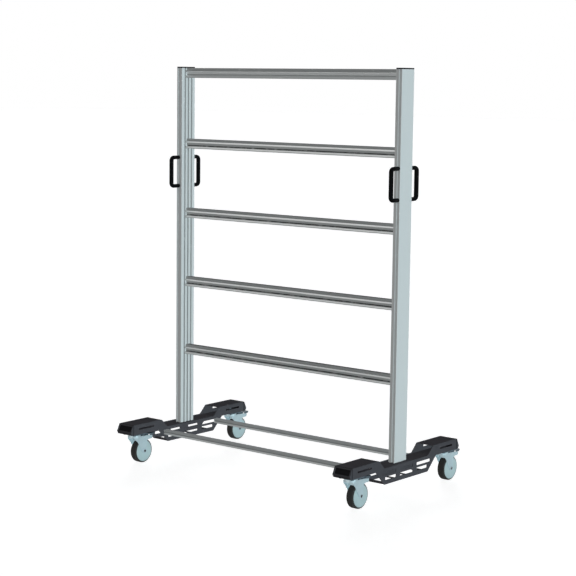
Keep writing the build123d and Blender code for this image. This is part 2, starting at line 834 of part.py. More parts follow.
caster_bolts = []
caster_nuts = []
king_pins = []
for side_name, side, end_name, end in corners:
    place = Pos(side * foot_x, end * caster_y, 0)
    name = f"{end_name}_{side_name}"
    save(f"{name}_caster_plate", place * caster_plate())
    save(f"{name}_fork", place * fork())
    axle = (axle_bolt(), axle_nut(), axle_sleeve(), brake_pin())
    save(f"{name}_axle", *[place * piece for piece in axle])
    save(f"{name}_wheel", place * wheel())
    save(f"{name}_tyre", place * tyre())
    save(f"{name}_brake_lever", place * brake_lever())
    caster_bolts += [place * caster_bolt(x, y) for x, y in bolt_places]
    caster_nuts += [place * caster_nut(x, y) for x, y in bolt_places]
    king_pins.append(place * king_pin())
save("caster_bolts", *caster_bolts)
save("caster_nuts", *caster_nuts)
save("king_pins", *king_pins)
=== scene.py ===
"""Looks of a transport cart for hanging storage boxes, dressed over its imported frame."""

import json
import math

import bmesh
import bpy
from bpy.props import FloatProperty, FloatVectorProperty, IntProperty, PointerProperty
from mathutils import Matrix, Vector

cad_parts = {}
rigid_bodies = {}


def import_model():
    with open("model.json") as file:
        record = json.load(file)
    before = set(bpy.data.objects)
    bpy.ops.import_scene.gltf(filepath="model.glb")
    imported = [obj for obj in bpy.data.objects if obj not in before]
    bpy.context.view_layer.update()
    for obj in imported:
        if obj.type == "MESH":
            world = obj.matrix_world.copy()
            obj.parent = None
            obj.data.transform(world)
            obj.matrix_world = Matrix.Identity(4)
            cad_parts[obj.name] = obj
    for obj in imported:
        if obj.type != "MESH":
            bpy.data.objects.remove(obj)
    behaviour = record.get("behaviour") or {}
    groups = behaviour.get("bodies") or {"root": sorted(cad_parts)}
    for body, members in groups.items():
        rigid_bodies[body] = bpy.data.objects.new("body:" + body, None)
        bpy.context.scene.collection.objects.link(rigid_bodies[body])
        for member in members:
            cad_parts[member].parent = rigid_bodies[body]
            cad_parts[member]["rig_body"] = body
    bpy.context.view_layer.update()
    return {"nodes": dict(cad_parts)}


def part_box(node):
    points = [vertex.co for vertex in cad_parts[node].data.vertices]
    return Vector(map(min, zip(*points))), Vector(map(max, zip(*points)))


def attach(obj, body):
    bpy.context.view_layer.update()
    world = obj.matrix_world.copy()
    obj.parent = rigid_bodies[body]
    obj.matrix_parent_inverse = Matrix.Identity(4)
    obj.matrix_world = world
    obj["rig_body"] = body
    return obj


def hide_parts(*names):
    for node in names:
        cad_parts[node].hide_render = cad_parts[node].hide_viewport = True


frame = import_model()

bl_info = {
    "name": "Transport cart",
    "version": (1, 0, 0),
    "blender": (4, 5, 0),
    "location": "View3D > Sidebar > Cart",
    "description": "Dresses the transport cart's frame with rounded pieces, finishes and a stage",
    "category": "Object",
}

QUARTER_TURN = math.pi / 2

SIDES = ("left", "right")
CORNERS = ("front_left", "rear_left", "front_right", "rear_right")
RAILS = tuple(f"bin_rail_{number}" for number in range(1, 6))
TIES = ("front_tie_rail", "rear_tie_rail")
FOOT_SHEETS = ("outer_wall", "inner_wall", "floor_plate", "covers")
FRAME_FASTENERS = (
    "upright_base_screws",
    "rail_connectors",
    "rail_set_screws",
    "tie_rail_screws",
    "handle_studs",
    "handle_slot_nuts",
    "king_pins",
)
# Bolts and nuts inside the feet, which take the dark lever plating as painted shade
SHADED_CASTER_FASTENERS = ("caster_bolts", "caster_nuts")

# Bands of a rail's faces: which of three marks they carry (painted shade, deeper painted shade, painted
# highlight), their depths below its top in metres, and how strongly
RAIL_BANDS = (
    ("painted_shade", -0.001, 0.0010, 1.0),
    ("painted_deep_shade", -0.001, 0.0010, 0.5),
    ("painted_shade", 0.0010, 0.0085, 0.70),
    ("painted_deep_shade", 0.0085, 0.0097, 1.0),
    ("painted_highlight", 0.0097, 0.0178, 1.0),
    ("painted_shade", 0.0178, 0.0255, 0.50),
    ("painted_deep_shade", 0.0255, 0.0309, 1.0),
    ("painted_highlight", 0.0309, 0.0370, 0.78),
)
# The top rail's painted shade and painted highlight lie in bands of their own
TOP_RAIL_BANDS = (
    ("painted_shade", -0.001, 0.0097, 0.75),
    ("painted_shade", 0.0097, 0.0142, 0.70),
    ("painted_highlight", 0.0142, 0.0178, 0.75),
    ("painted_highlight", 0.0178, 0.0218, 0.10),
    ("painted_shade", 0.0218, 0.0309, 0.50),
    ("painted_deep_shade", 0.0218, 0.0267, 1.0),
)
# Tie rails: painted shade on the upper part and a faint painted highlight on the lower part
TIE_BANDS = (
    ("painted_shade", -0.001, 0.0040, 0.5),
    ("painted_shade", 0.0040, 0.0125, 1.0),
    ("painted_highlight", 0.0125, 0.0210, 0.25),
)
# How strong each rail's painted highlight is, from the top one down
RAIL_HIGHLIGHT = (1.0, 1.0, 0.95, 0.84, 0.62)

# Where the painted shade on other pieces starts, or how far it reaches, in metres
SLOT_START = 0.0006
PANEL_START = 0.0015
SEAM_WIDTH = 0.0035
SOCKET_REACH = 0.0034

# How strongly the slots in an upright's wide and narrow sides are darkened with painted shade
WIDE_SLOT_SHADE = 1.0
NARROW_SLOT_SHADE = 0.35

# Limits on a face's normal that tell the faces of a piece apart
CUT_EDGE_SLANT = 0.4
TREAD_SLANT = 0.5
PANEL_OUTWARD = 0.5
PANEL_UPWARD = 0.2
SAME_PLANE = 0.999

# Joining, rounding and shading of the meshes
WELD_DISTANCE = 1e-6
FLAT_ANGLE = math.radians(0.5)
SHARP_ANGLE = math.radians(35)
WHEEL_SHARP_ANGLE = math.radians(25)
PLAIN_SEGMENTS = 2
FINE_SEGMENTS = 3
LARGE_FACE_WEIGHT = 100

# Places of the factor and of the two colours in a mix node, and of the mixed colour
MIX_INPUTS = (0, 6, 7)
MIX_OUTPUT = 2

# Values of the finishes
MID_SHADE = 0.5
LINE_STRETCH = 0.004
# Metallic of a rail's painted highlight
HIGHLIGHT_METALLIC = 0.52
DUST_COLOUR = (0.2, 0.2, 0.2)
SCUFF_COLOUR = (0.08, 0.075, 0.07)
ZINC_SHADE = 0.9
ZINC_TINT = (1.1, 1.06, 1.02)

# Lamps: where each shines from, its colour, and how wide it looks
KEY_FROM = (0.99, -0.1, 0.05)
KEY_COLOUR = (0.84, 1.0, 1.05)
FRONT_FROM = (-0.2, -0.97, 0.12)
FRONT_COLOUR = (1.0, 1.0, 0.99)
FILL_FROM = (-0.6, 0.72, 0.35)
FILL_COLOUR = (0.96, 1.0, 1.06)
NARROW_LAMP = math.radians(9)
WIDE_LAMP = math.radians(20)

# Camera, floor and background
SENSOR_WIDTH = 36.0
VIEW_REACH = 200.0
FLOOR_HALF = 60.0
WHITE = (1, 1, 1, 1)


# Settings


class CartSizes(bpy.types.PropertyGroup):
    """Sizes of the roundings and of the bent handles."""

    profile_round: FloatProperty(
        name="Profile edges", description="Rounding of the extruded profiles' edges",
        default=0.0004, unit="LENGTH")
    sheet_round: FloatProperty(
        name="Sheet edges", description="Rounding of the feet's sheet edges under their coating",
        default=0.0006, unit="LENGTH")
    moulded_round: FloatProperty(
        name="Moulded edges", description="Rounding of the plastic caps' edges",
        default=0.0008, unit="LENGTH")
    fork_round: FloatProperty(
        name="Fork edges", description="Rounding of the forks' and the wheel bodies' edges",
        default=0.0008, unit="LENGTH")
    small_round: FloatProperty(
        name="Small edges", description="Rounding of the axles, levers and caster plates",
        default=0.0003, unit="LENGTH")
    handle_thickness: FloatProperty(
        name="Handle thickness", default=0.016, unit="LENGTH",
        description="Thickness of a handle's oval bar in the plane of its bends")
    handle_bend: FloatProperty(
        name="Handle bend", description="Radius of a handle's bends at the middle of its bar",
        default=0.013, unit="LENGTH")
    handle_sides: IntProperty(
        name="Handle sides", description="Faces round a handle's bar", default=32, min=8)
    bend_steps: IntProperty(
        name="Bend steps", description="Faces along one bend of a handle", default=10, min=3)


class CartColours(bpy.types.PropertyGroup):
    """Plain colours of the finishes."""

    aluminium: FloatVectorProperty(
        name="Aluminium", description="Anodised profiles", subtype="COLOR",
        default=(0.575, 0.58, 0.575), min=0, max=1)
    foot_paint: FloatVectorProperty(
        name="Foot coating", description="Powder coating of the feet", subtype="COLOR",
        default=(0.067, 0.063, 0.069), min=0, max=1)
    cap_plastic: FloatVectorProperty(
        name="Upright caps", description="Moulded caps of the uprights", subtype="COLOR",
        default=(0.008, 0.008, 0.009), min=0, max=1)
    end_cap_plastic: FloatVectorProperty(
        name="End caps", description="Moulded caps of the feet", subtype="COLOR",
        default=(0.058, 0.056, 0.062), min=0, max=1)
    handle_black: FloatVectorProperty(
        name="Handles", description="Plastic of the handles", subtype="COLOR",
        default=(0.004, 0.004, 0.0045), min=0, max=1)
    zinc: FloatVectorProperty(
        name="Zinc", description="Plating of the forks", subtype="COLOR",
        default=(0.375, 0.473, 0.515), min=0, max=1)
    wheel_plastic: FloatVectorProperty(
        name="Wheels", description="Plastic of the wheel bodies", subtype="COLOR",
        default=(0.376, 0.459, 0.465), min=0, max=1)
    tyre_rubber: FloatVectorProperty(
        name="Tyres", description="Rubber of the treads", subtype="COLOR",
        default=(0.030, 0.029, 0.028), min=0, max=1)
    # The caster plates, and the bolts and nuts inside the feet, take this dark plating as painted shade
    lever_steel: FloatVectorProperty(
        name="Levers", description="Dark plating of the levers, caster plates and their bolts",
        subtype="COLOR", default=(0.045, 0.066, 0.082), min=0, max=1)
    fastener_steel: FloatVectorProperty(
        name="Fasteners", description="Axles, screws, studs and pins", subtype="COLOR",
        default=(0.36, 0.40, 0.42), min=0, max=1)


class CartStage(bpy.types.PropertyGroup):
    """Camera, lamps and floor."""

    camera_place: FloatVectorProperty(
        name="Camera place", description="Where the camera stands", subtype="TRANSLATION",
        unit="LENGTH", default=(4.1667, -5.1091, 1.5972))
    camera_yaw: FloatProperty(
        name="Yaw", description="Turn of the camera to the left", subtype="ANGLE",
        default=math.radians(39.17))
    camera_pitch: FloatProperty(
        name="Pitch", description="Tilt of the camera downwards", subtype="ANGLE",
        default=math.radians(7.19))
    camera_roll: FloatProperty(
        name="Roll", description="Turn of the camera about its line of sight", subtype="ANGLE",
        default=math.radians(0.69))
    lens: FloatProperty(
        name="Lens", description="Focal length of the camera", default=102.13, unit="CAMERA")
    key_strength: FloatProperty(
        name="Key lamp", description="Strength of the lamp on the right", default=2.75)
    fill_strength: FloatProperty(
        name="Fill lamps", description="Strength of the two lamps behind on the left", default=1.6)
    front_strength: FloatProperty(
        name="Front lamp", description="Strength of the lamp in front", default=0.65)
    ambient: FloatProperty(
        name="Ambient", description="Level of the light from all round", default=0.15)
    floor_colour: FloatVectorProperty(
        name="Floor", description="Colour of the floor", subtype="COLOR",
        default=(0.4, 0.4, 0.4), min=0, max=1)
    floor_glow: FloatProperty(
        name="Floor glow", description="Brightness that the floor adds to its lit colour", default=0.88)


# Shader nodes


def add_node(tree, kind, **values):
    """Place a node and set its inputs, by name, or its own properties."""
    node = tree.nodes.new(kind)
    for name, value in values.items():
        label = name.replace("_", " ").title()
        if label in node.inputs:
            node.inputs[label].default_value = value
        else:
            setattr(node, name, value)
    return node


def feed(tree, socket, value):
    """Link a socket to the one that is given, or set it to a plain value."""
    if isinstance(value, bpy.types.NodeSocket):
        tree.links.new(value, socket)
    else:
        socket.default_value = value


def new_group(name, inputs, outputs):
    """Start a node group; inputs are (name, kind, default) and outputs (name, kind)."""
    tree = bpy.data.node_groups.new(name, "ShaderNodeTree")
    for label, kind, default in inputs:
        socket = tree.interface.new_socket(label, in_out="INPUT", socket_type=kind)
        socket.default_value = default
    for label, kind in outputs:
        tree.interface.new_socket(label, in_out="OUTPUT", socket_type=kind)
    return tree, tree.nodes.new("NodeGroupInput"), tree.nodes.new("NodeGroupOutput")


def mapped_range(tree, value, low, high):
    """Spread a value of 0 to 1 over a range of its own."""
    node = add_node(tree, "ShaderNodeMapRange", to_min=low, to_max=high)
    tree.links.new(value, node.inputs["Value"])
    return node.outputs["Result"]


def mixed(tree, factor, first, second):
    """Mix two colours, each a socket or a plain colour."""
    node = add_node(tree, "ShaderNodeMix", data_type="RGBA")
    for place, value in zip(MIX_INPUTS, (factor, first, second)):
        feed(tree, node.inputs[place], (*value, 1) if isinstance(value, tuple) else value)
    return node.outputs[MIX_OUTPUT]


def product(tree, first, second):
    """Multiply two values, each a socket or a number."""
    node = add_node(tree, "ShaderNodeMath", operation="MULTIPLY", use_clamp=True)
    for socket, value in zip(node.inputs, (first, second)):
        feed(tree, socket, value)
    return node.outputs[0]


def build_grain_group():
    """Noise of one size, stretched along an axis where a finish runs that way."""
    tree, given, made = new_group(
        "Surface grain",
        [("Stretch", "NodeSocketVector", (1, 1, 1)), ("Scale", "NodeSocketFloat", 100.0),
         ("Detail", "NodeSocketFloat", 3.0), ("Contrast", "NodeSocketFloat", 1.0)],
        [("Shade", "NodeSocketFloat")])
    place = add_node(tree, "ShaderNodeTexCoord")
    mapping = add_node(tree, "ShaderNodeMapping")
    noise = add_node(tree, "ShaderNodeTexNoise", roughness=0.6)
    spread = add_node(tree, "ShaderNodeMath", operation="MULTIPLY_ADD")
    centre = add_node(tree, "ShaderNodeMath", operation="SUBTRACT")
    clamp = add_node(tree, "ShaderNodeClamp")
    centre.inputs[1].default_value = MID_SHADE
    spread.inputs[2].default_value = MID_SHADE
    tree.links.new(place.outputs["Object"], mapping.inputs["Vector"])
    tree.links.new(given.outputs["Stretch"], mapping.inputs["Scale"])
    tree.links.new(mapping.outputs["Vector"], noise.inputs["Vector"])
    tree.links.new(given.outputs["Scale"], noise.inputs["Scale"])
    tree.links.new(given.outputs["Detail"], noise.inputs["Detail"])
    tree.links.new(noise.outputs["Fac"], centre.inputs[0])
    tree.links.new(centre.outputs[0], spread.inputs[0])
    tree.links.new(given.outputs["Contrast"], spread.inputs[1])
    tree.links.new(spread.outputs[0], clamp.inputs["Value"])
    tree.links.new(clamp.outputs[0], made.inputs["Shade"])
    return tree


def build_wear_group():
    """Mask of a zone that a piece's attribute marks, broken up into patches."""
    tree, given, made = new_group(
        "Patchy wear",
        [("Zone", "NodeSocketFloat", 0.0), ("Scale", "NodeSocketFloat", 60.0),
         ("Amount", "NodeSocketFloat", 0.5)],
        [("Mask", "NodeSocketFloat")])
    place = add_node(tree, "ShaderNodeTexCoord")
    noise = add_node(tree, "ShaderNodeTexNoise", detail=5.0, roughness=0.65)
    shift = add_node(tree, "ShaderNodeMath", operation="ADD")
    steep = add_node(tree, "ShaderNodeMapRange", from_min=0.75, from_max=1.1)
    tree.links.new(place.outputs["Object"], noise.inputs["Vector"])
    tree.links.new(given.outputs["Scale"], noise.inputs["Scale"])
    tree.links.new(noise.outputs["Fac"], shift.inputs[0])
    tree.links.new(given.outputs["Amount"], shift.inputs[1])
    tree.links.new(shift.outputs[0], steep.inputs["Value"])
    mask = product(tree, steep.outputs["Result"], given.outputs["Zone"])
    tree.links.new(mask, made.inputs["Mask"])
    return tree


def build_dust_group():
    """Mask of dust that settles on faces which look up."""
    tree, given, made = new_group(
        "Settled dust",
        [("Scale", "NodeSocketFloat", 30.0), ("Amount", "NodeSocketFloat", 0.3)],
        [("Mask", "NodeSocketFloat")])
    place = add_node(tree, "ShaderNodeTexCoord")
    geometry = add_node(tree, "ShaderNodeNewGeometry")
    split = add_node(tree, "ShaderNodeSeparateXYZ")
    upward = add_node(tree, "ShaderNodeMapRange", from_min=0.5, from_max=1.0)
    noise = add_node(tree, "ShaderNodeTexNoise", detail=6.0, roughness=0.7)
    tree.links.new(geometry.outputs["Normal"], split.inputs[0])
    tree.links.new(split.outputs["Z"], upward.inputs["Value"])
    tree.links.new(place.outputs["Object"], noise.inputs["Vector"])
    tree.links.new(given.outputs["Scale"], noise.inputs["Scale"])
    settled = product(tree, noise.outputs["Fac"], upward.outputs["Result"])
    tree.links.new(product(tree, settled, given.outputs["Amount"]), made.inputs["Mask"])
    return tree


GROUP_BUILDERS = {
    "Surface grain": build_grain_group,
    "Patchy wear": build_wear_group,
    "Settled dust": build_dust_group,
}


def group_output(tree, name, **values):
    """Place a shared group in a tree, building it at its first use, and give its output."""
    node = tree.nodes.new("ShaderNodeGroup")
    node.node_tree = bpy.data.node_groups.get(name) or GROUP_BUILDERS[name]()
    for label, value in values.items():
        feed(tree, node.inputs[label.capitalize()], value)
    return node.outputs[0]


def attribute_value(tree, name):
    """The mark that a piece's faces carry under a name; 0 where they carry none."""
    node = add_node(tree, "ShaderNodeAttribute", attribute_name=name)
    return node.outputs["Fac"]


def grain(tree, scale, detail, contrast, stretch=(1, 1, 1)):
    """Shade of a grain, around the middle one."""
    return group_output(
        tree, "Surface grain", stretch=stretch, scale=scale, detail=detail, contrast=contrast)


def patches(tree, zone, scale, amount, strength=1.0):
    """Mask of the patches in a zone that an attribute marks."""
    mask = group_output(
        tree, "Patchy wear", zone=attribute_value(tree, zone), scale=scale, amount=amount)
    return product(tree, mask, strength)


def shaded(colour, factor):
    """A colour made lighter or darker."""
    return tuple(min(1.0, channel * factor) for channel in colour)


def clouded(tree, shade, colour, darkest, lightest):
    """A colour that goes from one tone of itself to another with a shade."""
    return mixed(tree, shade, shaded(colour, darkest), shaded(colour, lightest))


def toned(tree, mask, base, colour, tone):
    """A base that takes on a tone of a colour where a mask shows it."""
    return mixed(tree, mask, base, shaded(colour, tone))


def new_material(name, **values):
    """Material with one principled shader; plain values go straight to its sockets."""
    material = bpy.data.materials.new(name)
    material.use_nodes = True
    tree = material.node_tree
    shader = tree.nodes["Principled BSDF"]
    for label, value in values.items():
        shader.inputs[label.replace("_", " ")].default_value = value
    return material, tree, shader


def bump(tree, shader, height, strength, distance):
    """Feed a height into the shader's normal."""
    node = add_node(tree, "ShaderNodeBump", strength=strength, distance=distance)
    tree.links.new(height, node.inputs["Height"])
    tree.links.new(node.outputs["Normal"], shader.inputs["Normal"])


# Finishes


def aluminium(name, stretch):
    """Anodised extrusion: fine lines along it, painted shade on fins and in slots, deeper painted shade
    in grooves, and a painted highlight on lips.
    """
    colour = bpy.context.scene.cart_colours.aluminium
    material, tree, shader = new_material(name, Specular_IOR_Level=0.0)
    lines = grain(tree, scale=2500.0, detail=3.0, contrast=1.2, stretch=stretch)
    clouds = grain(tree, scale=9.0, detail=3.0, contrast=1.5)
    base = clouded(tree, lines, colour, darkest=0.95, lightest=1.04)
    base = toned(tree, mapped_range(tree, clouds, low=0.0, high=0.2), base, colour, tone=0.9)
    # Painted shade: fins and slots darker, grooves darker still
    painted_shade = patches(tree, "painted_shade", scale=25.0, amount=0.7)
    base = toned(tree, painted_shade, base, colour, tone=0.48)
    painted_deep_shade = patches(tree, "painted_deep_shade", scale=40.0, amount=0.6)
    base = toned(tree, painted_deep_shade, base, colour, tone=0.17)
    edge = patches(tree, "edge_rub", scale=80.0, amount=0.4, strength=0.4)
    base = toned(tree, edge, base, colour, tone=1.2)
    # Painted highlight: lips lighter and more metallic
    painted_highlight = patches(tree, "painted_highlight", scale=30.0, amount=0.7)
    base = toned(tree, painted_highlight, base, colour, tone=1.28)
    tree.links.new(base, shader.inputs["Base Color"])
    tree.links.new(product(tree, painted_highlight, HIGHLIGHT_METALLIC), shader.inputs["Metallic"])
    tree.links.new(mapped_range(tree, lines, low=0.28, high=0.36), shader.inputs["Roughness"])
    bump(tree, shader, lines, strength=0.08, distance=0.0001)
    return material


def foot_coating():
    """Black powder coating: orange peel, faint dust on top, and edges rubbed grey."""
    colour = bpy.context.scene.cart_colours.foot_paint
    material, tree, shader = new_material("foot_coating", Specular_IOR_Level=0.0)
    peel = grain(tree, scale=900.0, detail=2.0, contrast=1.4)
    clouds = grain(tree, scale=14.0, detail=4.0, contrast=1.6)
    base = clouded(tree, clouds, colour, darkest=0.86, lightest=1.12)
    dust = group_output(tree, "Settled dust", scale=35.0, amount=0.05)
    base = mixed(tree, dust, base, DUST_COLOUR)
    edge = patches(tree, "edge_rub", scale=90.0, amount=0.3, strength=0.5)
    base = toned(tree, edge, base, colour, tone=2.4)
    tree.links.new(base, shader.inputs["Base Color"])
    tree.links.new(mapped_range(tree, clouds, low=0.66, high=0.8), shader.inputs["Roughness"])
    bump(tree, shader, peel, strength=0.25, distance=0.0003)
    return material


def moulded_plastic(name, colour, roughness, specular):
    """Moulded plastic: fine spark-eroded texture, slightly polished edges, and painted shade on sunk
    panels and seams.
    """
    material, tree, shader = new_material(name, Specular_IOR_Level=specular)
    texture = grain(tree, scale=1400.0, detail=2.0, contrast=1.5)
    clouds = grain(tree, scale=22.0, detail=4.0, contrast=1.5)
    base = clouded(tree, clouds, colour, darkest=0.9, lightest=1.1)
    edge = patches(tree, "edge_rub", scale=70.0, amount=0.3, strength=0.4)
    base = toned(tree, edge, base, colour, tone=1.5)
    # Painted shade on sunk panels and along seams
    base = toned(tree, attribute_value(tree, "recess"), base, colour, tone=0.25)
    tree.links.new(base, shader.inputs["Base Color"])
    tree.links.new(mapped_range(tree, clouds, *roughness), shader.inputs["Roughness"])
    bump(tree, shader, texture, strength=0.2, distance=0.0002)
    return material


def zinc_plating():
    """Passivated zinc: cloudy pale blue with a faint warm tint, rubbed edges and bright cut edges."""
    colour = bpy.context.scene.cart_colours.zinc
    material, tree, shader = new_material("zinc_plating", Specular_IOR_Level=0.2)
    clouds = grain(tree, scale=45.0, detail=5.0, contrast=1.8)
    fine = grain(tree, scale=600.0, detail=3.0, contrast=1.4)
    tinted = tuple(channel * share for channel, share in zip(colour, ZINC_TINT))
    base = mixed(tree, clouds, shaded(colour, ZINC_SHADE), tinted)
    edge = patches(tree, "edge_rub", scale=90.0, amount=0.35, strength=0.5)
    base = toned(tree, edge, base, colour, tone=1.3)
    tree.links.new(base, shader.inputs["Base Color"])
    bright = mapped_range(tree, attribute_value(tree, "cut_edge"), low=0.45, high=0.85)
    tree.links.new(bright, shader.inputs["Metallic"])
    tree.links.new(mapped_range(tree, clouds, low=0.36, high=0.52), shader.inputs["Roughness"])
    bump(tree, shader, fine, strength=0.12, distance=0.0002)
    return material


def tyre_tread():
    """Dark rubber: matt, with grey scuffs on the tread."""
    colour = bpy.context.scene.cart_colours.tyre_rubber
    material, tree, shader = new_material("tyre_tread", Specular_IOR_Level=0.1)
    pores = grain(tree, scale=500.0, detail=4.0, contrast=1.6)
    clouds = grain(tree, scale=60.0, detail=5.0, contrast=1.8)
    base = clouded(tree, clouds, colour, darkest=0.85, lightest=1.4)
    tread = patches(tree, "tread_rub", scale=110.0, amount=0.32, strength=0.35)
    base = mixed(tree, tread, base, SCUFF_COLOUR)
    tree.links.new(base, shader.inputs["Base Color"])
    tree.links.new(mapped_range(tree, clouds, low=0.62, high=0.82), shader.inputs["Roughness"])
    bump(tree, shader, pores, strength=0.3, distance=0.0003)
    return material


def plated_steel(name, colour, metallic, roughness):
    """Plated steel of the small parts: faint brushing, bright rubbed edges, and painted shade with some
    grime in the axles' sockets.
    """
    material, tree, shader = new_material(name, Metallic=metallic)
    brushed = grain(tree, scale=250.0, detail=3.0, contrast=1.5, stretch=(6.0, 1.0, 1.0))
    clouds = grain(tree, scale=80.0, detail=4.0, contrast=1.6)
    base = clouded(tree, clouds, colour, darkest=0.85, lightest=1.12)
    edge = patches(tree, "edge_rub", scale=120.0, amount=0.45, strength=0.4)
    base = toned(tree, edge, base, colour, tone=1.5)
    # Painted shade with some grime in the sockets
    base = toned(tree, attribute_value(tree, "recess"), base, colour, tone=0.12)
    tree.links.new(base, shader.inputs["Base Color"])
    tree.links.new(mapped_range(tree, brushed, *roughness), shader.inputs["Roughness"])
    bump(tree, shader, brushed, strength=0.1, distance=0.0002)
    return material


def finish_of(name):
    """The material of a finish, made at its first use."""
    found = bpy.data.materials.get(name)
    if found:
        return found
    colours = bpy.context.scene.cart_colours
    makers = {
        "upright_aluminium": lambda: aluminium(name, stretch=(1.0, 1.0, LINE_STRETCH)),
        "rail_aluminium": lambda: aluminium(name, stretch=(LINE_STRETCH, 1.0, 1.0)),
        "foot_coating": foot_coating,
        "cap_moulding": lambda: moulded_plastic(
            name, colours.cap_plastic, roughness=(0.49, 0.63), specular=0.0),
        "end_cap_moulding": lambda: moulded_plastic(
            name, colours.end_cap_plastic, roughness=(0.49, 0.63), specular=0.0),
        "handle_moulding": lambda: moulded_plastic(
            name, colours.handle_black, roughness=(0.32, 0.46), specular=0.01),
        "wheel_moulding": lambda: moulded_plastic(
            name, colours.wheel_plastic, roughness=(0.39, 0.53), specular=0.2),
        "zinc_plating": zinc_plating,
        "tyre_tread": tyre_tread,
        "lever_plating": lambda: plated_steel(
            name, colours.lever_steel, metallic=0.2, roughness=(0.43, 0.59)),
        "screw_plating": lambda: plated_steel(
            name, colours.fastener_steel, metallic=0.3, roughness=(0.33, 0.49)),
    }
    return makers[name]()


# Pieces


def add_piece(bm, node, finish):
    """Make a finished mesh a piece that stands for its node and rides on the node's body."""
    name = f"{node}_dressed"
    mesh = bpy.data.meshes.new(name)
    bm.to_mesh(mesh)
    bm.free()
    mesh.materials.append(finish_of(finish))
    mesh.shade_smooth()
    piece = bpy.data.objects.new(name, mesh)
    bpy.context.scene.collection.objects.link(piece)
    shading = piece.modifiers.new("even_shading", "WEIGHTED_NORMAL")
    shading.weight = LARGE_FACE_WEIGHT
    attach(piece, frame["nodes"][node]["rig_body"])
    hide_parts(node)


def node_mesh(node):
    """Editable copy of a node's mesh with its triangles joined into flat faces."""
    bm = bmesh.new()
    bm.from_mesh(frame["nodes"][node].data)
    bmesh.ops.remove_doubles(bm, verts=bm.verts, dist=WELD_DISTANCE)
    bmesh.ops.dissolve_limit(bm, angle_limit=FLAT_ANGLE, verts=bm.verts, edges=bm.edges)
    return bm


def round_edges(bm, width, segments=PLAIN_SEGMENTS, sharpest=SHARP_ANGLE):
    """Round the sharp edges and mark the roundings, where a finish rubs off first."""
    zone = bm.faces.layers.float.new("edge_rub")
    sharp = [edge for edge in bm.edges if edge.is_manifold and edge.calc_face_angle() > sharpest]
    made = bmesh.ops.bevel(
        bm, geom=sharp, offset=width, offset_type="OFFSET", segments=segments, profile=0.5,
        affect="EDGES", clamp_overlap=False, material=-1)
    for face in made["faces"]:
        face[zone] = 1.0


def mark_faces(bm, name, chosen):
    """Mark, under a name, the faces that a test chooses."""
    zone = bm.faces.layers.float.new(name)
    for face in bm.faces:
        face[zone] = 1.0 if chosen(face) else 0.0


def rounded_piece(node, width, finish, segments=PLAIN_SEGMENTS):
    """A node's own shape with its edges rounded."""
    bm = node_mesh(node)
    round_edges(bm, width, segments)
    add_piece(bm, node, finish)


def mark_slots(bm, low, high):
    """Mark the faces inside a profile's slots with painted shade; those of the narrow sides less."""
    zone = bm.faces.layers.float.new("painted_shade")
    for face in bm.faces:
        centre = face.calc_center_median()
        from_wide = min(centre.x - low.x, high.x - centre.x)
        from_narrow = min(centre.y - low.y, high.y - centre.y)
        if min(from_wide, from_narrow) > SLOT_START:
            face[zone] = WIDE_SLOT_SHADE if from_wide < from_narrow else NARROW_SLOT_SHADE


class CART_OT_uprights(bpy.types.Operator):
    """Slotted uprights with softened profile edges"""

    bl_idname = "cart.uprights"
    bl_label = "Uprights"

    def execute(self, context):
        for side in SIDES:
            node = f"{side}_upright"
            bm = node_mesh(node)
            round_edges(bm, context.scene.cart_sizes.profile_round)
            # Painted shade inside the slots
            mark_slots(bm, *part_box(node))
            add_piece(bm, node, "upright_aluminium")
        return {"FINISHED"}


class CART_OT_upright_caps(bpy.types.Operator):
    """Moulded caps on top of the uprights"""

    bl_idname = "cart.upright_caps"
    bl_label = "Upright caps"

    def execute(self, context):
        width = context.scene.cart_sizes.moulded_round
        for side in SIDES:
            rounded_piece(f"{side}_upright_cap", width, "cap_moulding", FINE_SEGMENTS)
        return {"FINISHED"}


def banded_rail(node, width, bands, painted_highlight=1.0):
    """A rail with rounded edges, its faces marked in bands of painted shade and painted highlight by
    their depth below its top; the highlight is scaled by the rail's strength.
    """
    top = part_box(node)[1].z
    bm = node_mesh(node)
    round_edges(bm, width)
    for name in dict.fromkeys(band[0] for band in bands):
        bm.faces.layers.float.new(name)
    for name, start, end, strength in bands:
        zone = bm.faces.layers.float[name]
        level = strength * painted_highlight if name == "painted_highlight" else strength
        for face in bm.faces:
            if start < top - face.calc_center_median().z < end:
                face[zone] = level
    add_piece(bm, node, "rail_aluminium")


class CART_OT_bin_rails(bpy.types.Operator):
    """Rails that boxes hook on, with painted shade along their fins and a painted highlight along their
    lips
    """

    bl_idname = "cart.bin_rails"
    bl_label = "Bin rails"

    def execute(self, context):
        for node, painted_highlight in zip(RAILS, RAIL_HIGHLIGHT):
            bands = TOP_RAIL_BANDS if node == RAILS[0] else RAIL_BANDS
            banded_rail(node, context.scene.cart_sizes.profile_round, bands, painted_highlight)
        return {"FINISHED"}


class CART_OT_tie_rails(bpy.types.Operator):
    """Thin slotted rails between the feet"""

    bl_idname = "cart.tie_rails"
    bl_label = "Tie rails"

    def execute(self, context):
        for node in TIES:
            banded_rail(node, context.scene.cart_sizes.profile_round, TIE_BANDS)
        return {"FINISHED"}


class CART_OT_feet(bpy.types.Operator):
    """Coated sheet-steel feet"""

    bl_idname = "cart.feet"
    bl_label = "Feet"

    def execute(self, context):
        sheets = [f"{side}_foot_{sheet}" for side in SIDES for sheet in FOOT_SHEETS]
        for node in [*sheets, "foot_cross_strips"]:
            rounded_piece(node, context.scene.cart_sizes.sheet_round, "foot_coating")
        return {"FINISHED"}


